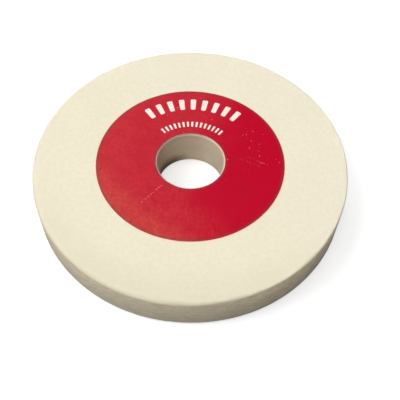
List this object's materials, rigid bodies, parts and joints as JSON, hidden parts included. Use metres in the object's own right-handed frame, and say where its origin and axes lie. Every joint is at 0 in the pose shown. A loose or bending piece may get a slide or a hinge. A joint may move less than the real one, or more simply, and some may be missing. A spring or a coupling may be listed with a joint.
{
  "type": "felt polishing wheel",
  "caption": "Flat round polishing wheel of pressed wool felt, with a central bore and a printed round paper label bonded to one face.",
  "frame": {"origin": "centre of the bore at the back face, which is the face without the label", "axes": "+Z along the bore, out of the labelled face; +Y towards the printed rows of the label"},
  "size_m": [0.15, 0.15, 0.0202],
  "materials": {
    "felt": "matte",
    "adhesive": "satin",
    "paper": "matte",
    "ink": "satin"
  },
  "bodies": {
    "root": {"felt_disc": "felt", "label_adhesive": "adhesive", "label_paper": "paper", "label_ink": "ink"}
  },
  "joints": []
}
